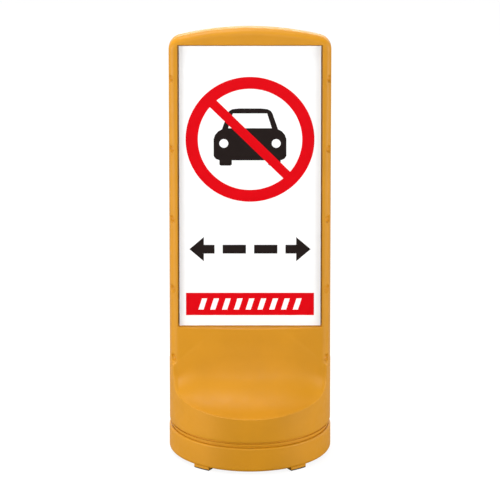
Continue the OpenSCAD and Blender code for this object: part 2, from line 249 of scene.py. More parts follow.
def painted_recess_shade(tree, tint, rim, painted_shade):
    """The tint, turned towards a painted shade along the sides and the top of the panel's recess,
    where its walls would be in shade
    """
    half, foot, top = rim
    axes = coordinate_axes(tree, "Object")
    beside = maths(tree, 'SUBTRACT', maths(tree, 'ABSOLUTE', axes["X"]), half)
    above = maths(tree, 'SUBTRACT', axes["Z"], top)
    out = maths(tree, 'MAXIMUM', beside, above)
    share = maths(tree, 'MULTIPLY', ranged(tree, out, *PAINTED_SHADE_START, 0.0, PAINTED_SHADE_SHARE),
                  ranged(tree, out, *PAINTED_SHADE_END, 1.0, 0.0))
    share = maths(tree, 'MULTIPLY', share,
                  ranged(tree, axes["Z"], foot, foot + PAINTED_SHADE_FOOT, 0.0, 1.0))
    node = tree.nodes.new("ShaderNodeMix")
    node.data_type = 'RGBA'
    tree.links.new(share, node.inputs[0])
    tree.links.new(tint, node.inputs[6])
    node.inputs[7].default_value = (*painted_shade, 1.0)
    return node.outputs[2]


def moulded_yellow(name, colour, rim=None, painted_shade=None):
    """Rotationally moulded polyethylene: faint cloudiness, fine orange peel and a satin gloss.
    With a rim, it also has the parting line round the sides and painted shade in the recess."""
    mat, tree, shader = new_material(name)
    tint = drifting_tint(tree, noise_factor(tree, 9.0, 4.0), shaded(colour, 0.96),
                         shaded(colour, 1.03))
    # With a rim, painted shade is mixed into the tint along the sides and top of the recess
    if rim:
        tint = painted_recess_shade(tree, tint, rim, painted_shade)
    tree.links.new(tint, shader.inputs["Base Color"])
    drifting_roughness(tree, shader, noise_factor(tree, 60.0), 0.46, 0.56)
    shader.inputs["Specular IOR Level"].default_value = 0.34
    peel = bump(tree, noise_factor(tree, 420.0, 2.0), 0.00022, 0.5)
    waves = bump(tree, noise_factor(tree, 14.0, 2.0), 0.0012, 0.35, peel)
    if rim:
        away = maths(tree, 'ABSOLUTE', coordinate_axes(tree, "Object")["Y"])
        waves = bump(tree, ranged(tree, away, 0.0002, 0.0011, 1.0, 0.0), 0.0004, 0.8, waves)
    tree.links.new(waves, shader.inputs["Normal"])
    return mat


def plain_finish(name, colour, roughness, grain=0.0, grain_scale=500.0, gloss=0.5, vary=0.06):
    """A small-grained finish: colour and roughness vary a little, with a fine bump"""
    mat, tree, shader = new_material(name)
    tint = drifting_tint(tree, noise_factor(tree, 40.0), shaded(colour, 1 - vary),
                         shaded(colour, 1 + vary))
    tree.links.new(tint, shader.inputs["Base Color"])
    drifting_roughness(tree, shader, noise_factor(tree, 90.0), roughness * 0.88, roughness * 1.12)
    shader.inputs["Specular IOR Level"].default_value = gloss
    if grain:
        grains = bump(tree, noise_factor(tree, grain_scale, 2.0), grain, 0.6)
        tree.links.new(grains, shader.inputs["Normal"])
    return mat


def turned_metal(name, colour, roughness):
    """Turned metal with fine rings round the upright axis"""
    mat, tree, shader = new_material(name)
    shader.inputs["Metallic"].default_value = 1.0
    rings = noise_factor(tree, 300.0, 2.0)
    tint = drifting_tint(tree, rings, shaded(colour, 0.9), colour)
    tree.links.new(tint, shader.inputs["Base Color"])
    drifting_roughness(tree, shader, rings, roughness * 0.8, roughness * 1.2)
    tree.links.new(bump(tree, rings, 0.00005, 0.4), shader.inputs["Normal"])
    return mat


# Mesh helpers

def mesh_object(name, vertices, faces, material, sharp=35.0, merge=1e-6):
    """A closed mesh object at the origin, smooth except at edges sharper than the given angle"""
    mesh = bpy.data.meshes.new(name)
    mesh.from_pydata([tuple(v) for v in vertices], [], [tuple(f) for f in faces])
    work = bmesh.new()
    work.from_mesh(mesh)
    bmesh.ops.remove_doubles(work, verts=work.verts, dist=merge)
    bmesh.ops.dissolve_degenerate(work, edges=work.edges, dist=merge)
    bmesh.ops.recalc_face_normals(work, faces=work.faces)
    work.to_mesh(mesh)
    work.free()
    mesh.polygons.foreach_set("use_smooth", [True] * len(mesh.polygons))
    mesh.set_sharp_from_angle(angle=math.radians(sharp))
    mesh.materials.append(material)
    obj = bpy.data.objects.new(name, mesh)
    bpy.context.scene.collection.objects.link(obj)
    return obj


def lathe(profile, steps, centre=(0.0, 0.0, 0.0), axis='Z'):
    """Vertices and faces of a closed profile of (radius, height) points turned about an axis"""
    vertices, faces = [], []
    count = len(profile)
    for i in range(steps):
        a = 2 * math.pi * i / steps
        for radius, height in profile:
            if axis == 'Z':
                point = (radius * math.cos(a), radius * math.sin(a), height)
            else:
                point = (radius * math.cos(a), height, -radius * math.sin(a))
            vertices.append([point[0] + centre[0], point[1] + centre[1], point[2] + centre[2]])
    for i in range(steps):
        j = (i + 1) % steps
        for k in range(count):
            n = (k + 1) % count
            faces.append((i * count + k, j * count + k, j * count + n, i * count + n))
    return vertices, faces


def rounded_profile(corners, radius, steps=5):
    """A closed polygon of (radius, height) corners, each rounded by its own third figure or by
    the given radius"""
    points = []
    count = len(corners)
    for i, (x, y, *own) in enumerate(corners):
        r = own[0] if own else radius
        before, after = corners[i - 1], corners[(i + 1) % count]
        a = Vector((before[0] - x, before[1] - y))
        b = Vector((after[0] - x, after[1] - y))
        if r <= 0 or a.length < 1e-9 or b.length < 1e-9:
            points.append((x, y))
            continue
        longest = 0.49 * min(a.length, b.length)
        a.normalize()
        b.normalize()
        half = a.angle(b) / 2
        cut = min(r / math.tan(half), longest)
        real = cut * math.tan(half)
        centre = Vector((x, y)) + (a + b).normalized() * real / math.sin(half)
        first = Vector((x, y)) + a * cut - centre
        last = Vector((x, y)) + b * cut - centre
        turn = first.angle_signed(last)
        for s in range(steps + 1):
            spun = Matrix.Rotation(-turn * s / steps, 2) @ first
            points.append((centre.x + spun.x, centre.y + spun.y))
    return points


def eased(value):
    """A smooth step of a value, clipped to 0 to 1"""
    value = np.clip(value, 0, 1)
    return value * value * (3 - 2 * value)


def smooth_max(a, b, k):
    """The larger of two values, blended over the width k"""
    h = np.clip(k - np.abs(a - b), 0.0, None) / k
    return np.maximum(a, b) + h * h * k / 4


def smooth_min(a, b, k):
    """The smaller of two values, blended over the width k"""
    return -smooth_max(-a, -b, k)


# The moulded body

# Widths of the blends where two surfaces of the skin meet
SEAM_BLEND, CREASE_BLEND, DIMPLE_BLEND = 0.0015, 0.005, 0.0022

# Places along the rail that the face's straight lines are drawn from
RAIL_SAMPLES = 481

# Beyond this distance from the middle, the face is also measured on the board's section
EDGE_ZONE = 0.15

# The board reaches this far down inside the drum
BOARD_ROOT = 0.05

# The face fades into the scoop over a band FADE_H high, and its columns turn into the drum's
# over a band TURN_H high; the bands start FADE_TOP and TURN_TOP above the shoulder
FADE_TOP, FADE_H = 0.08, 0.085
TURN_TOP, TURN_H = 0.03, 0.09

# How far the front's columns crowd towards its sides, as a share of a quarter turn
COLUMN_CROWD = 0.9

# Heights near which the skin's rows crowd, and distances between single rows
CREASE_NEAR, SHOULDER_BAND = 0.0022, 0.034
ROW_STEP, DIMPLE_STEP, DIMPLE_REACH = 0.0085, 0.00125, 0.0125
ROW_END, CORNER_LIFT = 0.004, 0.0015
RIM_LOW_LIFT, RIM_HIGH_LIFT, RAIL_LIFT = 0.0007, 0.0006, 0.0012

# Steps round the small roundings, and the drain's and the register's sizes under the skin
RIM_STEPS, DRAIN_STEPS, LIP_STEPS = 4, 5, 4
DRAIN_CLEAR, DRAIN_EDGE_R, DRAIN_BORE_R = 0.006, 0.0018, 0.0125
REGISTER_R, REGISTER_H = 0.2045, 0.006


class BodyForm:
    """The body's front half as distances from its middle plane, worked out from SignSizes"""

    def __init__(self, s):
        self.s = s
        self.board_r = s.body_r - s.board_set_in
        chord = self.board_r - s.foot_edge_r
        self.bow_r = (chord ** 2 + s.face_bow ** 2) / (2 * s.face_bow)
        self.bow_y = self.bow_r - s.side_t / 2 - s.face_bow
        inner, outer = self.board_r - s.foot_edge_r, self.bow_r - s.foot_edge_r
        self.edge_y = (outer ** 2 - inner ** 2 - self.bow_y ** 2) / (2 * self.bow_y)
        self.edge_x = math.sqrt(inner ** 2 - self.edge_y ** 2)
        self.corner_x = self.board_r - s.corner_r
        self.arch_z = s.stand_h - s.arch_r
        self.corner_z = self.arch_z + math.sqrt((s.arch_r - s.corner_r) ** 2 - self.corner_x ** 2)
        self.rail_r = s.corner_r - s.top_edge_r
        self.arch_rail_r = s.arch_r - s.top_edge_r
        self.join_x = self.arch_rail_r * self.corner_x / (s.arch_r - s.corner_r)
        self.half_top = s.top_t / 2
        self.flat = self.half_top - s.top_edge_r
        self.lean = math.atan((s.side_t - s.top_t) / 2 / (self.corner_z - s.foot_z))
        self.panel_y = self.half_top + (s.side_t - s.top_t) / 2 * self.share(s.panel_z) - s.set_back
        self.side_x = s.panel_w / 2 + s.panel_gap + s.rim_r
        slope = math.tan(s.shelf_slope)
        self.face_rho = self.bow_r - FACE_BURY
        self.line_c = s.shelf_z + slope * (self.bow_y + s.body_r)
        side = math.atan2(self.edge_y, self.edge_x)
        front = math.atan2(self.edge_y + self.bow_y, self.edge_x)
        a = np.unique(np.concatenate([np.linspace(0, side, 24), np.linspace(side, front, 120),
                                      np.linspace(front, math.pi / 2, 160)]))
        x = np.where(a <= side, self.board_r * np.cos(a), self.edge_x + s.foot_edge_r * np.cos(a))
        y = np.where(a <= side, self.board_r * np.sin(a), self.edge_y + s.foot_edge_r * np.sin(a))
        bow = a > front
        self.foot = np.stack([np.where(bow, self.bow_r * np.cos(a), x),
                              np.where(bow, self.bow_r * np.sin(a) - self.bow_y, y)], 1)
        self.top = np.stack([self.corner_x + self.rail_r + s.top_edge_r * np.cos(a),
                             self.flat + s.top_edge_r * np.sin(a)], 1)

    def share(self, z):
        """How far down the straight edge z lies, 0 at its top and 1 at its foot"""
        return (self.corner_z - z) / (self.corner_z - self.s.foot_z)

    def rail_z(self, x):
        """Height of the rail's middle line at x"""
        x = np.abs(x)
        arch = self.arch_z + np.sqrt(np.clip(self.arch_rail_r ** 2 - x ** 2, 0, None))
        corner = np.sqrt(np.clip(self.rail_r ** 2 - (x - self.corner_x) ** 2, 0, None))
        return np.where(x <= self.join_x, arch, self.corner_z + corner)

    def past_rail(self, x, z):
        """How far a point of the face lies beyond the rail's middle line"""
        x = np.abs(x)
        arch = np.hypot(x, z - self.arch_z) - self.arch_rail_r
        corner = np.hypot(x - self.corner_x, z - self.corner_z) - self.rail_r
        straight = x - self.corner_x - self.rail_r
        over_join = x * (self.s.arch_r - self.s.corner_r) > self.corner_x * (z - self.arch_z)
        beside = np.where(z < self.corner_z, straight, corner)
        return np.where((x <= self.corner_x) | ~over_join, arch, beside)

    def section(self, z):
        """The board's section at height z, from its side (depth 0) round to its face"""
        s = self.s
        if z > self.corner_z:
            a = np.linspace(0, math.pi / 2, 200)
            rho = self.rail_r + s.top_edge_r * np.cos(a)
            x = self.corner_x + np.sqrt(np.clip(rho ** 2 - (z - self.corner_z) ** 2, 0, None))
            points = np.stack([x, self.flat + s.top_edge_r * np.sin(a)], 1)
        else:
            w = min(1.0, self.share(z))
            points = w * self.foot + (1 - w) * self.top
        return np.vstack([[points[0, 0], 0.0], points, [0.0, points[-1, 1]]])

    def face(self, x, z):
        """Depth of the board's face at x (columns) and z (rows by columns)"""
        s = self.s
        half = self.corner_x + self.rail_r
        ends = np.linspace(-half, half, RAIL_SAMPLES)
        ends_z = self.rail_z(ends)
        depth = np.zeros_like(z)
        foot_x, foot_y = self.foot[::-1, 0], self.foot[::-1, 1]
        for i in range(z.shape[0]):
            row_z = np.maximum(z[i], s.foot_z)[:, None]
            e = np.concatenate([np.broadcast_to(ends, (len(x), len(ends))), x[:, None]], 1)
            ez = np.concatenate([np.broadcast_to(ends_z, (len(x), len(ends))),
                                 self.rail_z(x)[:, None]], 1)
            t = (ez - row_z) / (ez - s.foot_z)
            good = t > 1e-4
            t = np.where(good, t, 1.0)
            x1 = np.abs((x[:, None] - (1 - t) * e) / t)
            value = t * np.interp(x1, foot_x, foot_y) + (1 - t) * self.half_top
            value = np.where(good & (x1 <= self.board_r), value, 0.0)
            depth[i] = value.max(1)
        for i in range(z.shape[0]):
            for j in range(z.shape[1]):
                if abs(x[j]) > EDGE_ZONE:
                    section = self.section(z[i, j])[::-1]
                    own = np.interp(abs(x[j]), section[:, 0], section[:, 1])
                    depth[i, j] = max(depth[i, j], own)
        past = self.past_rail(x[None, :], z)
        tube = self.flat + np.sqrt(np.clip(s.top_edge_r ** 2 - past ** 2, 0, None))
        least = np.where(z > self.corner_z, self.half_top, 0)
        return np.where(past > 0, tube, np.maximum(depth, least))

    def bend(self, x):
        """The scoop's radius at x, its arc's middle as radius and height, and its lower end"""
        s = self.s
        slope = s.shelf_slope
        x = np.clip(np.abs(x) / self.side_x, 0, 1)
        r = s.scoop_r + (s.scoop_mid_r - s.scoop_r) * (1 - x ** 4)
        rho = self.face_rho + r
        z = self.line_c - math.tan(slope) * rho + r / math.cos(slope)
        return r, rho, z, z - r * math.cos(slope)

    def scoop_rho(self, x, z):
        """Radius of the scooped form about its far axis at x and height z"""
        s = self.s
        r, mid_rho, mid_z, end_z = self.bend(x)
        arc = mid_rho - np.sqrt(np.clip(r ** 2 - (z - mid_z) ** 2, 0, None))
        line = (self.line_c - z) / math.tan(s.shelf_slope)
        rho = np.where(z > mid_z, self.face_rho, np.where(z > end_z, arc, line))
        rise = s.stand_h - s.top_edge_r - s.foot_z
        slope = (s.side_t / 2 + s.face_bow - self.half_top) / rise
        lean_z = np.maximum(s.foot_z, mid_z)
        return np.where(z > lean_z, self.face_rho - slope * (z - lean_z), rho)

    def crease_z(self, x):
        """Height at which the shelf meets the drum's side at x"""
        s = self.s
        r, mid_rho, mid_z, end_z = self.bend(x)
        rho = np.hypot(x, self.bow_y + np.sqrt(s.body_r ** 2 - x ** 2))
        line = self.line_c - math.tan(s.shelf_slope) * rho
        arc = mid_z - np.sqrt(np.clip(r ** 2 - (mid_rho - rho) ** 2, 0, None))
        return np.where(line < end_z, line, arc)

    def drum_radius(self, z):
        """The drum's radius at height z, with its conical shoulder"""
        s = self.s
        return np.clip(s.body_r - np.clip(z - s.shoulder_z, 0, None), 0, None)

    def ray(self, ox, angle, z):
        """Distance from (ox, 0) in the direction of angle to the skin, for arrays of equal shape"""
        cx, cy = np.cos(angle), np.sin(angle)

        def circle(yc, radius):
            b = -(ox * cx - yc * cy)
            root = b ** 2 - (ox ** 2 + yc ** 2 - radius ** 2)
            return np.where(root > 0, b + np.sqrt(np.clip(root, 0, None)), 0.0)

        drum = circle(0.0, self.drum_radius(z))
        front = circle(-self.bow_y, self.scoop_rho(ox, z))
        return smooth_min(drum, front, CREASE_BLEND)


def dimple_centres(form):
    """Middles of the balls that shape the dimples of the front right edge"""
    s = form.s
    out = s.dimple_ball_r - s.dimple_depth
    centres = []
    for i in range(s.dimple_count):
        z = s.dimple_top_z - i * s.dimple_pitch
        w = form.share(z)
        edge = s.top_edge_r + (s.foot_edge_r - s.top_edge_r) * w + out
        x = (form.board_r - s.top_edge_r) * (1 - w) + form.edge_x * w
        y = form.flat * (1 - w) + form.edge_y * w
        x, y = x + edge * math.cos(s.dimple_turn), y + edge * math.sin(s.dimple_turn)
        centres.append((x, y, z))
    return centres


def spread(points, count):
    """Points along a line, spaced half by length and half by how it turns"""
    step = np.diff(points, axis=0)
    length = np.hypot(step[:, 0], step[:, 1])
    keep = length > 1e-9
    angle = np.unwrap(np.arctan2(step[keep, 1], step[keep, 0]))
    points = np.vstack([points[0], points[1:][keep]])
    length = length[keep]
    turn = np.abs(np.diff(angle, prepend=angle[0]))
    weight = 0.5 * length / length.sum() + 0.5 * turn / max(turn.sum(), 1e-9)
    along = np.concatenate([[0], np.cumsum(weight)])
    want = np.linspace(0, along[-1], count + 1)
    return np.stack([np.interp(want, along, points[:, k]) for k in (0, 1)], 1)


def board_rows(form, start, end):
    """Heights of the rows up the board, closer together at the dimples"""
    dimples = [centre[2] for centre in dimple_centres(form)]
    z, stops = start, []
    while z < end:
        near_dimple = min(abs(z - d) for d in dimples) < DIMPLE_REACH
        z += DIMPLE_STEP if near_dimple else ROW_STEP
        for d in dimples:
            if z - ROW_STEP < d - DIMPLE_REACH < z and not near_dimple:
                z = d - DIMPLE_REACH
        if z < end:
            stops.append(z)
    return stops


def body_rows(form, x):
    """Heights of the skin's rows, by row and front column, and the rows that the features need"""
    s = form.s
    crease = form.crease_z(x)
    flat = np.ones_like(x)
    rows, mark = [(s.drum_z + s.lip) * flat], {}

    def add(end, count, power=1.0):
        start = rows[-1]
        for i in range(1, count + 1):
            rows.append(start + (end - start) * (i / count) ** power)

    add(crease - CREASE_NEAR, 6)
    mark["drain_top"] = len(rows) - 1
    add(crease + CREASE_NEAR, 12)
    add(s.shoulder_z * flat, 46, 1.5)
    add((s.shoulder_z + SHOULDER_BAND) * flat, 20)
    rim_low = s.panel_z - s.panel_gap * math.cos(form.lean) - s.rim_r + RIM_LOW_LIFT
    add(rim_low * flat, 14)
    mark["rim_low"] = len(rows) - 1
    top = form.corner_z + CORNER_LIFT
    rows += [z * flat for z in board_rows(form, rim_low, top - ROW_END)]
    rows.append(top * flat)
    mark["corner"] = len(rows) - 1
    rim_high = s.panel_z + (s.panel_h + s.panel_gap) * math.cos(form.lean) + s.rim_r + RIM_HIGH_LIFT
    add(rim_high * flat, 6)
    mark["rim_high"] = len(rows) - 1
    add(np.maximum(form.rail_z(x), rim_high + RAIL_LIFT), 6)
    return np.array(rows), mark


def ball_distance(centre, form, angle, z):
    """Distance from the panel's edge to the near side of a dimple's ball, or 1 where it misses"""
    dx, dy = centre[0] - form.side_x, centre[1]
    b = dx * np.cos(angle) + dy * np.sin(angle)
    root = b ** 2 - (dx ** 2 + dy ** 2 + (z - centre[2]) ** 2 - form.s.dimple_ball_r ** 2)
    return np.where(root > 0, b - np.sqrt(np.clip(root, 0, None)), 1.0)


def side_row(form, z, inner, quarter):
    """Points of one row round the board's side, from the panel's edge to the middle plane"""
    s = form.s
    section = form.section(max(z, s.foot_z))[::-1]
    start = np.interp(form.side_x, section[:, 0], section[:, 1])
    line = np.vstack([[form.side_x, start], section[section[:, 0] > form.side_x]])
    away = spread(line, quarter) - [form.side_x, 0.0]
    board_angle = np.arctan2(away[:, 1], away[:, 0])
    turn = np.linspace(math.acos(form.side_x / s.body_r), 0, quarter + 1)
    drum_angle = np.arctan2(s.body_r * np.sin(turn), s.body_r * np.cos(turn) - form.side_x)
    blend = eased((s.shoulder_z + TURN_TOP - z) / TURN_H)
    angle = board_angle * (1 - blend) + drum_angle * blend
    dense = np.arctan2(line[:, 1], line[:, 0] - form.side_x)
    reach = np.hypot(line[:, 1], line[:, 0] - form.side_x)
    has_board = z > s.foot_z - BOARD_ROOT
    board_t = np.interp(-angle, -dense, reach) if has_board else np.zeros_like(angle)
    drum_t = form.ray(np.full_like(angle, form.side_x), angle, np.full_like(angle, z))
    t = smooth_max(board_t, drum_t, SEAM_BLEND)
    t[0] = max(t[0], inner)
    for centre in dimple_centres(form):
        if abs(z - centre[2]) < s.dimple_ball_r:
            t = smooth_min(t, ball_distance(centre, form, angle, z), DIMPLE_BLEND)
    return np.stack([form.side_x + t * np.cos(angle), t * np.sin(angle), np.full_like(t, z)], 1)


def edge_section(form, start, quarter):
    """Section of the board's rounded edge, as points of (distance from the corner's axis, depth)"""
    r = form.s.top_edge_r
    a = np.linspace(math.pi / 2, 0, 100)
    arc = np.stack([form.rail_r + r * np.cos(a), form.flat + r * np.sin(a)], 1)
    depth = form.half_top
    if start >= form.rail_r:
        arc = arc[arc[:, 0] > start]
        depth = form.flat + math.sqrt(r ** 2 - (start - form.rail_r) ** 2)
    return spread(np.vstack([[start, depth], arc, [arc[-1, 0], 0.0]]), quarter)


def corner_rows(form, z, quarter):
    """Rows of points round an upper corner, above the row at z[0]"""
    ax, az = form.side_x - form.corner_x, z - form.corner_z
    first, last = np.arctan2(az[0], ax), np.arctan2(az[-1], ax)
    rows = []
    for height in az[1:]:
        ring = edge_section(form, math.hypot(ax, height), quarter)
        low = np.arcsin(np.clip(az[0] / ring[:, 0], 0, 1))
        own = np.arctan2(height, ax)
        psi = low + (last - low) * ((own - first) / (last - first))
        psi[0] = own
        rows.append(np.stack([form.corner_x + ring[:, 0] * np.cos(psi), ring[:, 1],
                              form.corner_z + ring[:, 0] * np.sin(psi)], 1))
    return rows


def rail_rows(form, edge, quarter):
    """Rows of points over the arched edge, from the face's last row to the middle plane"""
    s = form.s
    rails = np.zeros((quarter, len(edge), 3))
    for j, (px, _, pz) in enumerate(edge):
        in_arch = abs(px) * (s.arch_r - s.corner_r) < form.corner_x * (pz - form.arch_z)
        if abs(px) <= form.corner_x or in_arch:
            cx, cz, rail = 0.0, form.arch_z, form.arch_rail_r
        else:
            cx, cz, rail = math.copysign(form.corner_x, px), form.corner_z, form.rail_r
        start = math.hypot(px - cx, pz - cz)
        ring = edge_section(form, start - rail + form.rail_r, quarter)
        ux, uz = (px - cx) / start, (pz - cz) / start
        rho = ring[1:, 0] + rail - form.rail_r
        rails[:, j] = np.stack([cx + ux * rho, ring[1:, 1], cz + uz * rho], 1)
    return rails


def body_grid(form, columns=84, quarter=30):
    """The skin's front half as an array of points (rows, columns, 3), with y towards the front"""
    s = form.s
    crowd = math.pi / 2 * COLUMN_CROWD
    x = form.side_x * np.sin(np.linspace(-1, 1, columns + 1) * crowd) / math.sin(crowd)
    z, mark = body_rows(form, x)
    ones = np.ones_like(z)
    board = np.where(z < s.foot_z - BOARD_ROOT, 0.0, form.face(x, z))
    drum = form.ray(x[None, :] * ones, math.pi / 2 * ones, z)
    fade = eased((s.shoulder_z + FADE_TOP - z) / FADE_H)
    soft = SEAM_BLEND + s.scoop_blend * (1 - (x[None, :] / form.side_x) ** 2) * fade
    depth = smooth_max(board, drum, soft)
    front = np.stack([x[None, :] * ones, depth, z], 2)
    side_z = z[:, -1]
    corner = mark["corner"]
    side = [side_row(form, side_z[i], depth[i, -1], quarter) for i in range(corner + 1)]
    side = np.array(side + corner_rows(form, side_z[corner:], quarter))
    mirrored = side * [-1, 1, 1]
    front[:, -1], front[:, 0] = side[:, 0], mirrored[:, 0]
    grid = np.concatenate([mirrored[:, :0:-1], front, side[:, 1:]], 1)
    return grid, rail_rows(form, front[-1], quarter), mark, columns, quarter


def border(i0, i1, j0, j1):
    """The grid places round a block of rows i0 to i1 and columns j0 to j1, in order"""
    return ([(i0, j) for j in range(j0, j1)] + [(i, j1) for i in range(i0, i1)]
            + [(i1, j) for j in range(j1, j0, -1)] + [(i, j0) for i in range(i1, i0, -1)])


class SkinMesh:
    """The vertices and faces of the whole skin; side is -1 for the front half, 1 for the back"""

    def __init__(self, form):
        self.form, self.s = form, form.s
        self.grid, self.rails, self.mark, columns, quarter = body_grid(form)
        self.first, self.last = quarter, quarter + columns
        self.vertices, self.faces = [], []
        for side in (-1, 1):
            self.add_half(side)

    def put(self, point):
        """Adds a vertex; returns its index"""
        self.vertices.append((float(point[0]), float(point[1]), float(point[2])))
        return len(self.vertices) - 1

    def close(self, loop, flip):
        """Adds one face on a loop of vertices"""
        self.faces.append(tuple(loop[::-1] if flip else loop))

    def bridge(self, a, b, flip, closed=True):
        """Adds the faces between two loops, or lines, of vertices"""
        n = len(a)
        for i in range(n if closed else n - 1):
            k = (i + 1) % n
            self.close((a[i], a[k], b[k], b[i]), flip)

    def add_half(self, side):
        """One half of the skin, with its arched edge, its recess and its underside"""
        flip = side > 0
        turn = np.array([1, side, 1])
        mark, rows, cols = self.mark, self.grid.shape[0], self.grid.shape[1]
        index = np.array([[self.put(p) for p in row * turn] for row in self.grid])
        drain_top, drain_left, drain_right = self.drain_window() if side > 0 else (0, 0, 0)
        for i in range(rows - 1):
            for j in range(cols - 1):
                in_recess = self.first <= j < self.last and mark["rim_low"] <= i < mark["rim_high"]
                in_drain = i < drain_top and drain_left <= j < drain_right
                if not in_recess and not in_drain:
                    self.close((index[i, j], index[i, j + 1], index[i + 1, j + 1], index[i + 1, j]),
                               flip)
        over = [index[rows - 1, self.first:self.last + 1]]
        over += [[self.put(p) for p in row * turn] for row in self.rails]
        for a, b in zip(over, over[1:]):
            self.bridge(a, b, flip, closed=False)
        self.add_recess(index, turn, flip)
        if side > 0:
            self.add_drain_recess(index, drain_top, drain_left, drain_right)
        self.add_underside(index, turn, flip)

    def add_recess(self, index, turn, flip):
        """The panel's recess: its rounded rim, its walls and its floor"""
        s, form = self.s, self.form
        low, high, first, last = self.mark["rim_low"], self.mark["rim_high"], self.first, self.last
        rim = border(low, high, first, last)
        loop = [index[i, j] for i, j in rim]
        places = [(self.grid[i, j], (j == first) * 1.0 - (j == last) * 1.0,
                   (i == low) * 1.0 - (i == high) * 1.0) for i, j in rim]
        for step in range(1, RIM_STEPS + 1):
            a = math.pi / 2 * step / RIM_STEPS
            across, down = s.rim_r * math.sin(a), s.rim_r * (1 - math.cos(a))
            ring = [self.put(np.array([p[0] + dx * across, p[1] - down, p[2] + dz * across]) * turn)
                    for p, dx, dz in places]
            self.bridge(loop, ring, flip)
            loop = ring
        floor = []
        for p, dx, dz in places:
            z = p[2] + dz * s.rim_r
            up = (z - s.panel_z + s.recess_floor * math.sin(form.lean)) / math.cos(form.lean)
            y = form.panel_y - s.recess_floor * math.cos(form.lean) - up * math.sin(form.lean)
            floor.append(self.put(np.array([p[0] + dx * s.rim_r, y, z]) * turn))
        self.bridge(loop, floor, flip)
        self.close(floor, flip)

    def drain_window(self):
        """The top row and the outer columns of the skin's opening for the drain's recess"""
        middle = (self.first + self.last) // 2
        clear = self.s.drain_recess_r + DRAIN_CLEAR
        reach = next(k for k in range(1, self.last - self.first)
                     if self.grid[0, middle + k, 0] > clear)
        return self.mark["drain_top"], middle - reach, middle + reach

    def add_drain_recess(self, index, top, left, right):
        """The round recess of the drain, from its opening in the skin to its floor"""
        s = self.s
        edge = border(0, top, left, right)
        places = [self.grid[i, j] for i, j in edge]
        flat = np.array([[math.asin(p[0] / s.body_r) * s.body_r, p[2]] for p in places])
        heading = np.arctan2(flat[:, 1] - s.drain_z, flat[:, 0])
        circle = np.stack([np.cos(heading), np.sin(heading)], 1)
        hole = circle * (s.drain_recess_r + DRAIN_EDGE_R) + [0, s.drain_z]
        loops = [[index[i, j] for i, j in edge]]
        for t in (0.25, 0.5, 0.75, 1.0):
            loops.append([self.put((s.body_r * math.sin(u / s.body_r),
                                    s.body_r * math.cos(u / s.body_r), v))
                          for u, v in flat * (1 - t) + hole * t])
        for step in range(1, DRAIN_STEPS + 1):
            a = math.pi / 2 * step / DRAIN_STEPS
            ring = circle * (s.drain_recess_r + DRAIN_EDGE_R * (1 - math.sin(a)))
            down = DRAIN_EDGE_R * (1 - math.cos(a))
            loops.append([self.put((u, math.sqrt(s.body_r ** 2 - u ** 2) - down, s.drain_z + v))
                          for u, v in ring])
        deep = s.body_r - s.drain_recess_d
        for r, y in ((s.drain_recess_r, deep + 0.0015), (s.drain_recess_r - 0.0005, deep + 0.0004),
                     (s.drain_recess_r - 0.0015, deep), (DRAIN_BORE_R, deep)):
            loops.append([self.put((u, y, s.drain_z + v)) for u, v in circle * r])
        for a, b in zip(loops, loops[1:]):
            self.bridge(a, b, True)
        self.close(loops[-1], True)

    def add_underside(self, index, turn, flip):
        """The drum's rounded lip and its floor, with the step of the register"""
        s = self.s
        loops = []
        for step in range(1, LIP_STEPS + 1):
            a = math.pi / 2 * step / LIP_STEPS
            loops.append((s.body_r - s.lip * (1 - math.cos(a)),
                          s.drum_z + s.lip * (1 - math.sin(a))))
        loops += [(REGISTER_R, s.drum_z), (REGISTER_R, s.drum_z + REGISTER_H)]
        upper = index[0, :]
        for r, z in loops:
            scale = r / s.body_r
            lower = [self.put(np.array([p[0] * scale, p[1] * scale, z]) * turn)
                     for p in self.grid[0]]
            self.bridge(upper, lower, not flip, closed=False)
            upper = lower
        self.close(upper, not flip)


class SIGN_OT_body(bpy.types.Operator):
    """Make the visible skin of the moulded body"""
    bl_idname = "sign.body"
    bl_label = "Moulded body"

    def execute(self, context):
        s, colours = context.scene.sign_sizes, context.scene.sign_colours
        skin = SkinMesh(BodyForm(s))
        rim = (s.panel_w / 2 + s.panel_gap, s.panel_z, s.panel_z + s.panel_h + s.panel_gap)
        # The body's material has painted shade along the sides and the top of the panel's recess
        yellow = moulded_yellow("moulded_yellow", tuple(colours.body), rim, tuple(colours.recess))
        obj = mesh_object("body_skin", skin.vertices, skin.faces, yellow, 40.0)
        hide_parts("body_shell")
        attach(obj, "stand")
        return {'FINISHED'}


# The filler and the drain

# The filler's pad stands out from its neck, and the cap hangs over the pad with a gap
PAD_MARGIN, CAP_GAP, NECK_WALL = 0.008, 0.002, 0.005

# Heights at which the collar's hidden foot and the neck's bore end inside the drum
COLLAR_FOOT_Z, COLLAR_TAPER_Z, NECK_FLOOR_Z = 0.15, 0.162, 0.165

# The cap's grip ridges, and how deep its top is dished
RIDGE_COUNT, RIDGE_R, DISH_DEPTH = 24, 0.0018, 0.0018

# The drain plug's shank and the thickness of its flange
SHANK_R, FLANGE_T = 0.01195, 0.004

# The plug's grip bar: how far it stays inside the flange's edge and half its thickness, at its
# outer end and at its root
GRIP_END, GRIP_ROOT = (0.0035, 0.0033), (0.0012, 0.004)

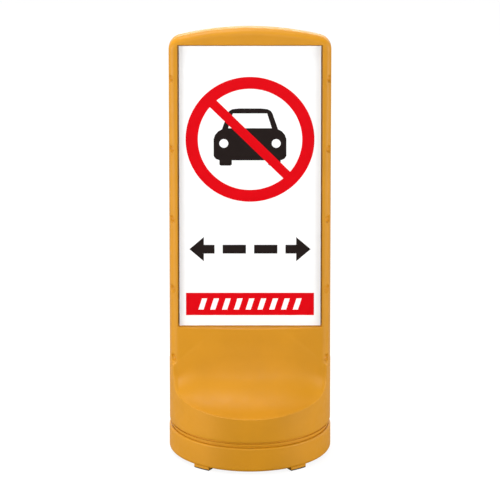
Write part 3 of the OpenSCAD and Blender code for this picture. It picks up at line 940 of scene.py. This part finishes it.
class SIGN_OT_filler(bpy.types.Operator):
    """Make the filler's collar and its cap"""
    bl_idname = "sign.filler"
    bl_label = "Filler"

    def execute(self, context):
        colours = context.scene.sign_colours
        low, high = (Vector(v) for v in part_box("filler_cap"))
        seal_low, seal_high = (Vector(v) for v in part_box("filler_seal"))
        centre = (0.0, (low.y + high.y) / 2, 0.0)
        neck_r = (seal_high.x - seal_low.x) / 2
        cap_r = (high.x - low.x) / 2
        pad_r, pad_z = neck_r + PAD_MARGIN, low.z - CAP_GAP
        bore_r = neck_r - NECK_WALL
        profile = rounded_profile([
            (0.0005, COLLAR_FOOT_Z, 0), (pad_r - 0.004, COLLAR_FOOT_Z, 0),
            (pad_r, COLLAR_TAPER_Z, 0), (pad_r, pad_z, 0.0025), (neck_r, pad_z, 0.0016),
            (neck_r, seal_low.z, 0.0008),
            (bore_r, seal_low.z, 0.0008), (bore_r, NECK_FLOOR_Z, 0), (0.0005, NECK_FLOOR_Z, 0)],
            0.001)
        yellow = moulded_yellow("moulded_yellow_seamless", tuple(colours.body))
        collar = mesh_object("filler_collar", *lathe(profile, 96, centre), yellow, 35.0)
        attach(collar, "stand")
        cap = ribbed_cap("filler_cap_skin", centre, neck_r + 0.0001, cap_r, low.z, seal_high.z,
                         high.z)
        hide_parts("filler_cap")
        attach(cap, "filler_cap")
        return {'FINISHED'}


def ridge_tree(name, count, radius, ridge_r, height, material):
    """A Geometry Nodes tree: upright rounded ridges round a circle"""
    tree = bpy.data.node_groups.new(name, 'GeometryNodeTree')
    face = tree.interface
    face.new_socket("Geometry", in_out='OUTPUT', socket_type='NodeSocketGeometry')
    inputs = {}
    for label, kind, value in (("Count", 'NodeSocketInt', count),
                               ("Circle Radius", 'NodeSocketFloat', radius),
                               ("Ridge Radius", 'NodeSocketFloat', ridge_r),
                               ("Height", 'NodeSocketFloat', height)):
        sock = face.new_socket(label, in_out='INPUT', socket_type=kind)
        sock.default_value = value
        inputs[label] = (sock.identifier, value)
    nodes, links = tree.nodes, tree.links
    group_in, group_out = nodes.new("NodeGroupInput"), nodes.new("NodeGroupOutput")
    circle = nodes.new("GeometryNodeMeshCircle")
    links.new(group_in.outputs["Count"], circle.inputs["Vertices"])
    links.new(group_in.outputs["Circle Radius"], circle.inputs["Radius"])
    bar = nodes.new("GeometryNodeMeshCone")
    bar.inputs["Vertices"].default_value = 16
    bar.inputs["Side Segments"].default_value = 4
    taper = maths(tree, 'MULTIPLY', group_in.outputs["Ridge Radius"], 0.86)
    links.new(taper, bar.inputs["Radius Top"])
    links.new(group_in.outputs["Ridge Radius"], bar.inputs["Radius Bottom"])
    links.new(group_in.outputs["Height"], bar.inputs["Depth"])
    place = nodes.new("GeometryNodeInstanceOnPoints")
    links.new(circle.outputs["Mesh"], place.inputs["Points"])
    links.new(bar.outputs["Mesh"], place.inputs["Instance"])
    real = nodes.new("GeometryNodeRealizeInstances")
    links.new(place.outputs["Instances"], real.inputs["Geometry"])
    finish = nodes.new("GeometryNodeSetMaterial")
    finish.inputs["Material"].default_value = material
    links.new(real.outputs["Geometry"], finish.inputs["Geometry"])
    links.new(finish.outputs["Geometry"], group_out.inputs["Geometry"])
    return tree, inputs


def evaluated_mesh(tree, inputs, name):
    """The plain mesh that a Geometry Nodes tree makes"""
    holder = bpy.data.objects.new(name, bpy.data.meshes.new(name))
    bpy.context.scene.collection.objects.link(holder)
    modifier = holder.modifiers.new("Nodes", 'NODES')
    modifier.node_group = tree
    for identifier, value in inputs.values():
        modifier[identifier] = value
    depsgraph = bpy.context.evaluated_depsgraph_get()
    mesh = bpy.data.meshes.new_from_object(holder.evaluated_get(depsgraph), depsgraph=depsgraph)
    bpy.data.objects.remove(holder)
    return mesh


def black_moulding():
    """The black plastic of the cap and the plug"""
    return bpy.data.materials.get("black_moulding") or plain_finish(
        "black_moulding", (0.02, 0.02, 0.022), 0.42, 0.00008, 900.0)


def ribbed_cap(name, centre, bore_r, out_r, low, seat, high):
    """A screw cap with a dished top and grip ridges"""
    material = black_moulding()
    wall_r, dish_z = out_r - RIDGE_R, high - DISH_DEPTH
    profile = rounded_profile([
        (bore_r, low, 0.0004), (wall_r, low, 0.0006), (wall_r, high, 0.0022),
        (out_r * 0.55, high, 0.001), (out_r * 0.5, dish_z, 0.001), (0.0002, dish_z, 0),
        (0.0002, seat, 0), (bore_r, seat, 0.0003)], 0.001)
    vertices, faces = lathe(profile, 96, centre)
    tree, inputs = ridge_tree("grip_ridges", RIDGE_COUNT, wall_r - 0.0002, RIDGE_R,
                              high - low - 0.003, material)
    ridges = evaluated_mesh(tree, inputs, "grip_ridges")
    base = len(vertices)
    for v in ridges.vertices:
        vertices.append([v.co.x + centre[0], v.co.y + centre[1], v.co.z + low + 0.0005])
    for p in ridges.polygons:
        faces.append(tuple(base + i for i in p.vertices))
    return mesh_object(name, vertices, faces, material, 35.0)


class SIGN_OT_drain(bpy.types.Operator):
    """Make the drain plug"""
    bl_idname = "sign.drain"
    bl_label = "Drain plug"

    def execute(self, context):
        low, high = (Vector(v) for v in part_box("drain_plug"))
        z = (low.z + high.z) / 2
        flange_r = (high.x - low.x) / 2
        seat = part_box("drain_seal")[1][1]
        face = seat + FLANGE_T
        profile = rounded_profile([
            (0.0002, low.y, 0), (SHANK_R, low.y, 0.0012), (SHANK_R, seat, 0.0003),
            (flange_r, seat, 0.0006), (flange_r, face, 0.0012), (0.0002, face, 0)], 0.001)
        vertices, faces = lathe(profile, 72, (0.0, 0.0, z), 'Y')
        material = black_moulding()
        obj = mesh_object("drain_plug_skin", vertices, faces, material, 35.0)
        grip = bmesh.new()
        bmesh.ops.create_cube(grip, size=1.0)
        for v in grip.verts:
            outer = v.co.y > 0
            inside, half_z = GRIP_END if outer else GRIP_ROOT
            v.co = Vector((math.copysign(flange_r - inside, v.co.x),
                           high.y if outer else seat + FLANGE_T / 2,
                           z + math.copysign(half_z, v.co.z)))
        bmesh.ops.bevel(grip, geom=grip.edges[:] + grip.verts[:], offset=0.0014, segments=4,
                        affect='EDGES', profile=0.5)
        mesh = bpy.data.meshes.new("drain_grip")
        grip.to_mesh(mesh)
        grip.free()
        mesh.materials.append(material)
        mesh.polygons.foreach_set("use_smooth", [True] * len(mesh.polygons))
        mesh.set_sharp_from_angle(angle=math.radians(50))
        bar = bpy.data.objects.new("drain_grip", mesh)
        context.scene.collection.objects.link(bar)
        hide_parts("drain_plug")
        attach(obj, "drain_plug")
        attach(bar, "drain_plug")
        return {'FINISHED'}


# The printed panel

class PanelPlane:
    """Places flat figures on the panel's face, in the part's frame"""

    def __init__(self, sizes):
        self.form = BodyForm(sizes)
        self.s = sizes

    def up(self, z):
        """Distance up the panel's face of the height z"""
        return (z - self.s.panel_z) / math.cos(self.form.lean)

    def at(self, x, up, lift):
        """The point at x, up the panel's face, lifted off it"""
        c, n = math.cos(self.form.lean), math.sin(self.form.lean)
        return (x, -self.form.panel_y - lift * c + up * n, self.s.panel_z + lift * n + up * c)


def plate(plane, outline, lift, thick, holes=()):
    """Vertices and faces of a thin flat figure; its outline and holes are rings of (x, up)"""
    work = bmesh.new()
    edges = []
    for ring in [outline, *holes]:
        points = [work.verts.new((x, u, 0.0)) for x, u in ring]
        edges += [work.edges.new((points[i - 1], points[i])) for i in range(len(points))]
    bmesh.ops.triangle_fill(work, use_beauty=True, edges=edges, normal=(0.0, 0.0, 1.0))
    bmesh.ops.recalc_face_normals(work, faces=work.faces)
    side = bmesh.ops.extrude_face_region(work, geom=work.faces[:])
    for v in [g for g in side["geom"] if isinstance(g, bmesh.types.BMVert)]:
        v.co.z = thick
    work.verts.index_update()
    vertices = [plane.at(v.co.x, v.co.y, lift + v.co.z) for v in work.verts]
    faces = [tuple(v.index for v in f.verts) for f in work.faces]
    work.free()
    return vertices, faces


def circle_points(x, y, radius, count=160):
    """Points round a circle"""
    angles = [2 * math.pi * i / count for i in range(count)]
    return [(x + radius * math.cos(a), y + radius * math.sin(a)) for a in angles]


# A car from the front, as shares of its width: its outline, its windscreen and a headlamp
CAR_OUTLINE = (
    (-0.42, 0.0), (-0.42, -0.06), (-0.40, -0.075), (-0.27, -0.075), (-0.25, -0.06), (-0.25, 0.0),
    (0.25, 0.0), (0.25, -0.06), (0.27, -0.075), (0.40, -0.075), (0.42, -0.06), (0.42, 0.0),
    (0.47, 0.02), (0.5, 0.06), (0.5, 0.30), (0.48, 0.36), (0.44, 0.41), (0.385, 0.44),
    (0.31, 0.66), (0.285, 0.70), (0.24, 0.725), (0.15, 0.735), (-0.15, 0.735), (-0.24, 0.725),
    (-0.285, 0.70), (-0.31, 0.66), (-0.385, 0.44), (-0.44, 0.41), (-0.48, 0.36), (-0.5, 0.30),
    (-0.5, 0.06), (-0.47, 0.02))
CAR_WINDOW = ((-0.235, 0.665), (0.235, 0.665), (0.30, 0.455), (-0.30, 0.455))
CAR_LAMP_X, CAR_LAMP_Y, CAR_LAMP_R = 0.36, 0.24, 0.062

# Thickness of a layer of print
INK = 0.00006


class Printer:
    """Lays thin printed figures on the panel's face"""

    def __init__(self, scene):
        self.plane = PanelPlane(scene.sign_sizes)
        self.graphic = scene.sign_graphic
        colours = scene.sign_colours
        self.red = plain_finish("print_red", tuple(colours.print_red), 0.4, 0.00002, 700.0,
                                gloss=0.06, vary=0.02)
        self.black = plain_finish("print_black", tuple(colours.print_black), 0.4, 0.00002, 700.0,
                                  gloss=0.06, vary=0.05)

    def add(self, name, outline, level, material, holes=()):
        """One figure, on its level of print"""
        vertices, faces = plate(self.plane, outline, level * INK, INK, holes)
        piece = mesh_object(name, vertices, faces, material, 30.0, 1e-7)
        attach(piece, "stand")

    def add_prohibition(self):
        """A car under a ring with a slash"""
        g = self.graphic
        middle = self.plane.up(g.ring_z)
        base = middle - g.car_drop

        def car(points):
            return [(px * g.car_w, base + py * g.car_w) for px, py in points]

        lamps = [circle_points(side * CAR_LAMP_X * g.car_w, base + CAR_LAMP_Y * g.car_w,
                               CAR_LAMP_R * g.car_w, 32) for side in (-1, 1)]
        self.add("print_car", car(CAR_OUTLINE), 0, self.black, [car(CAR_WINDOW), *lamps])
        half, reach = g.slash_w / 2, g.ring_r - g.ring_w / 2
        turn = math.radians(-45)
        slash = [(math.cos(turn) * a - math.sin(turn) * b,
                  middle + math.sin(turn) * a + math.cos(turn) * b)
                 for a, b in ((-reach, -half), (reach, -half), (reach, half), (-reach, half))]
        self.add("print_slash", slash, 1, self.red)
        self.add("print_ring", circle_points(0.0, middle, g.ring_r), 2, self.red,
                 [circle_points(0.0, middle, g.ring_r - g.ring_w)])

    def add_arrow(self):
        """A two-headed arrow in four pieces"""
        g = self.graphic
        row = self.plane.up(g.arrow_z)
        w, h = g.arrow_w / 2, g.arrow_h / 2
        stub, neck, shaft = -w + 2.0 * h, -w + 1.15 * h, 0.36 * h
        left = [(-w, 0.0), (neck, h), (neck, shaft), (stub, shaft), (stub, -shaft), (neck, -shaft),
                (neck, -h)]
        self.add("print_arrow_left", [(x, row + y) for x, y in left], 0, self.black)
        self.add("print_arrow_right", [(-x, row + y) for x, y in left], 0, self.black)
        dash = -stub - 1.5 * g.dash_gap
        for name, x in (("print_dash_left", stub + g.dash_gap),
                        ("print_dash_right", g.dash_gap / 2)):
            self.add(name, [(x, row - shaft), (x + dash, row - shaft), (x + dash, row + shaft),
                            (x, row + shaft)], 0, self.black)

    def add_band(self):
        """The red band with its slanted white bars"""
        g = self.graphic
        row = self.plane.up(g.band_z)
        w, h = g.band_w / 2, g.band_h / 2
        bars = []
        for i in range(g.bar_count):
            x = (i - (g.bar_count - 1) / 2) * g.bar_pitch
            low, high = x - (g.bar_w + g.bar_shift) / 2, x - (g.bar_w - g.bar_shift) / 2
            bars.append([(low, row - 0.5 * h), (low + g.bar_w, row - 0.5 * h),
                         (high + g.bar_w, row + 0.5 * h), (high, row + 0.5 * h)])
        self.add("print_band", [(-w, row - h), (w, row - h), (w, row + h), (-w, row + h)], 0,
                 self.red, bars)


class SIGN_OT_panel(bpy.types.Operator):
    """Dress the panel and lay the printed figures on it"""
    bl_idname = "sign.panel"
    bl_label = "Printed panel"

    def execute(self, context):
        film = tuple(context.scene.sign_colours.film)
        set_material("sign_film", plain_finish("printed_film", film, 0.4, 0.00002, 700.0,
                                               gloss=0.12, vary=0.006))
        set_material("sign_sheet", plain_finish("white_sheet", (0.8, 0.8, 0.8), 0.45, 0.00006,
                                                600.0))
        printer = Printer(context.scene)
        printer.add_prohibition()
        printer.add_arrow()
        printer.add_band()
        return {'FINISHED'}


# Finishes of the pieces that keep their CAD shape

def set_material(node, material):
    """Gives a CAD node's object one material"""
    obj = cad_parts[node]
    for slot in obj.material_slots:
        slot.material = material


class SIGN_OT_finishes(bpy.types.Operator):
    """Give the pieces that keep their CAD shape their finishes"""
    bl_idname = "sign.finishes"
    bl_label = "Finishes"

    def execute(self, context):
        colours = context.scene.sign_colours
        yellow = moulded_yellow("moulded_yellow_base", tuple(colours.body))
        rubber = plain_finish("pad_rubber", (0.018, 0.018, 0.018), 0.75, 0.0001, 500.0, gloss=0.3)
        seal = plain_finish("seal_rubber", (0.02, 0.02, 0.02), 0.6, 0.0, gloss=0.4)
        foam = plain_finish("foam_tape", (0.05, 0.05, 0.052), 0.9, 0.0002, 900.0, gloss=0.2)
        steel = turned_metal("zinc_steel", (0.62, 0.62, 0.64), 0.32)
        brass = turned_metal("insert_brass", (0.72, 0.5, 0.2), 0.3)
        set_material("base_ring", yellow)
        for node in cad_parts:
            if node.startswith("foot_pad"):
                set_material(node, rubber)
            elif node.endswith("_seal"):
                set_material(node, seal)
            elif node.startswith("tape"):
                set_material(node, foam)
        set_material("base_screws", steel)
        set_material("screw_washers", steel)
        set_material("screw_inserts", brass)
        return {'FINISHED'}


# The stage

# Each lamp's name, place, height that it aims at, width, height and power
LAMPS = (
    ("left", (-3.1, -1.5, 0.75), 0.4, 1.6, 1.4, 86.0),
    ("right", (3.2, -1.3, 0.75), 0.4, 1.6, 1.4, 77.0),
    ("front", (0.2, -4.6, 2.2), 0.6, 2.2, 2.0, 86.0),
    ("top", (-0.5, -0.15, 3.3), 0.5, 1.3, 1.1, 52.0),
    ("back", (0.0, 3.6, 2.4), 0.6, 2.6, 1.6, 60.0),
)

# The camera, fitted to the photo's arch, ellipses and panel
SENSOR_W, LENS = 36.0, 448.6
CAMERA_AWAY, CAMERA_ELEVATION, CAMERA_AIM_Z = 16.9, math.radians(18.4), 0.5695

FLOOR_HALF, FLOOR_DROP = 14.0, 0.0002


class SIGN_OT_stage(bpy.types.Operator):
    """Make the floor, the lamps, the white surroundings and the camera"""
    bl_idname = "sign.stage"
    bl_label = "Stage"

    def execute(self, context):
        scene = context.scene
        scene.view_settings.view_transform = 'Standard'
        corners = [(-1, -1), (1, -1), (1, 1), (-1, 1)]
        floor_mesh = bpy.data.meshes.new("floor")
        floor_mesh.from_pydata([(x * FLOOR_HALF, y * FLOOR_HALF, 0) for x, y in corners], [],
                               [(0, 1, 2, 3)])
        floor_mesh.materials.append(floor_material())
        floor = bpy.data.objects.new("floor", floor_mesh)
        floor.location.z = -FLOOR_DROP
        scene.collection.objects.link(floor)
        scene.world = white_world()
        for name, place, aim_z, width, height, power in LAMPS:
            lamp(scene, name, place, (0, 0, aim_z), width, height, power)
        camera = bpy.data.cameras.new("camera")
        camera.sensor_width = SENSOR_W
        camera.lens = LENS
        camera.clip_end = 100.0
        eye = bpy.data.objects.new("camera", camera)
        eye.location = (0.0, -CAMERA_AWAY * math.cos(CAMERA_ELEVATION),
                        CAMERA_AIM_Z + CAMERA_AWAY * math.sin(CAMERA_ELEVATION))
        eye.rotation_euler = (math.pi / 2 - CAMERA_ELEVATION, 0.0, 0.0)
        scene.collection.objects.link(eye)
        scene.camera = eye
        return {'FINISHED'}


def lamp(scene, name, place, aim, width, height, power):
    """A soft rectangular lamp turned towards a point"""
    data = bpy.data.lights.new(name, 'AREA')
    data.shape = 'RECTANGLE'
    data.size, data.size_y, data.energy = width, height, power
    obj = bpy.data.objects.new(name, data)
    obj.location = place
    obj.rotation_euler = (Vector(aim) - Vector(place)).to_track_quat('-Z', 'Y').to_euler()
    scene.collection.objects.link(obj)


def floor_material():
    """A pale floor that the camera sees as white, with the object's soft shadow"""
    mat = bpy.data.materials.new("pale_floor")
    mat.use_nodes = True
    tree = mat.node_tree
    tree.nodes.clear()
    out = tree.nodes.new("ShaderNodeOutputMaterial")
    matt, faint = (tree.nodes.new("ShaderNodeBsdfDiffuse") for _ in range(2))
    matt.inputs["Color"].default_value = (0.35, 0.35, 0.35, 1.0)
    faint.inputs["Color"].default_value = (0.16, 0.16, 0.16, 1.0)
    glow = tree.nodes.new("ShaderNodeEmission")
    glow.inputs["Strength"].default_value = 0.88
    both = tree.nodes.new("ShaderNodeAddShader")
    path = tree.nodes.new("ShaderNodeLightPath")
    pick = tree.nodes.new("ShaderNodeMixShader")
    tree.links.new(faint.outputs[0], both.inputs[0])
    tree.links.new(glow.outputs[0], both.inputs[1])
    tree.links.new(path.outputs["Is Camera Ray"], pick.inputs[0])
    tree.links.new(matt.outputs[0], pick.inputs[1])
    tree.links.new(both.outputs[0], pick.inputs[2])
    tree.links.new(pick.outputs[0], out.inputs["Surface"])
    return mat


def white_world():
    """White to the camera; as a light it is dim in front, brighter behind, a bit less above"""
    world = bpy.data.worlds.new("studio")
    world.use_nodes = True
    tree = world.node_tree
    back = tree.nodes["Background"]
    axes = coordinate_axes(tree, "Generated")
    behind = ranged(tree, axes["Y"], -0.4, 0.9, 0.14, 1.5)
    above = ranged(tree, axes["Z"], 0.1, 1.0, 0.0, -0.1)
    path = tree.nodes.new("ShaderNodeLightPath")
    strength = tree.nodes.new("ShaderNodeMapRange")
    tree.links.new(path.outputs["Is Camera Ray"], strength.inputs["Value"])
    tree.links.new(maths(tree, 'ADD', behind, above), strength.inputs["To Min"])
    strength.inputs["To Max"].default_value = 1.0
    back.inputs["Color"].default_value = (1.0, 1.0, 1.0, 1.0)
    tree.links.new(strength.outputs["Result"], back.inputs["Strength"])
    return world


# The sidebar and the registration

OPERATORS = (SIGN_OT_body, SIGN_OT_filler, SIGN_OT_drain, SIGN_OT_panel, SIGN_OT_finishes,
             SIGN_OT_stage)


class SIGN_PT_sidebar(bpy.types.Panel):
    """Lists the sign's pieces"""
    bl_idname = "SIGN_PT_sidebar"
    bl_label = "Freestanding sign"
    bl_space_type = 'VIEW_3D'
    bl_region_type = 'UI'
    bl_category = "Sign"

    def draw(self, context):
        for operator in OPERATORS:
            self.layout.operator(operator.bl_idname)
        for name in SignColours.__annotations__:
            self.layout.prop(context.scene.sign_colours, name)
        for name in SignGraphic.__annotations__:
            self.layout.prop(context.scene.sign_graphic, name)


CLASSES = (SignSizes, SignGraphic, SignColours, *OPERATORS, SIGN_PT_sidebar)


def register():
    for cls in CLASSES:
        bpy.utils.register_class(cls)
    bpy.types.Scene.sign_sizes = PointerProperty(type=SignSizes)
    bpy.types.Scene.sign_graphic = PointerProperty(type=SignGraphic)
    bpy.types.Scene.sign_colours = PointerProperty(type=SignColours)


def unregister():
    del bpy.types.Scene.sign_colours
    del bpy.types.Scene.sign_graphic
    del bpy.types.Scene.sign_sizes
    for cls in reversed(CLASSES):
        bpy.utils.unregister_class(cls)


def main():
    register()
    bpy.ops.sign.body()
    bpy.ops.sign.filler()
    bpy.ops.sign.drain()
    bpy.ops.sign.panel()
    bpy.ops.sign.finishes()
    bpy.ops.sign.stage()


if __name__ == "__main__":
    main()
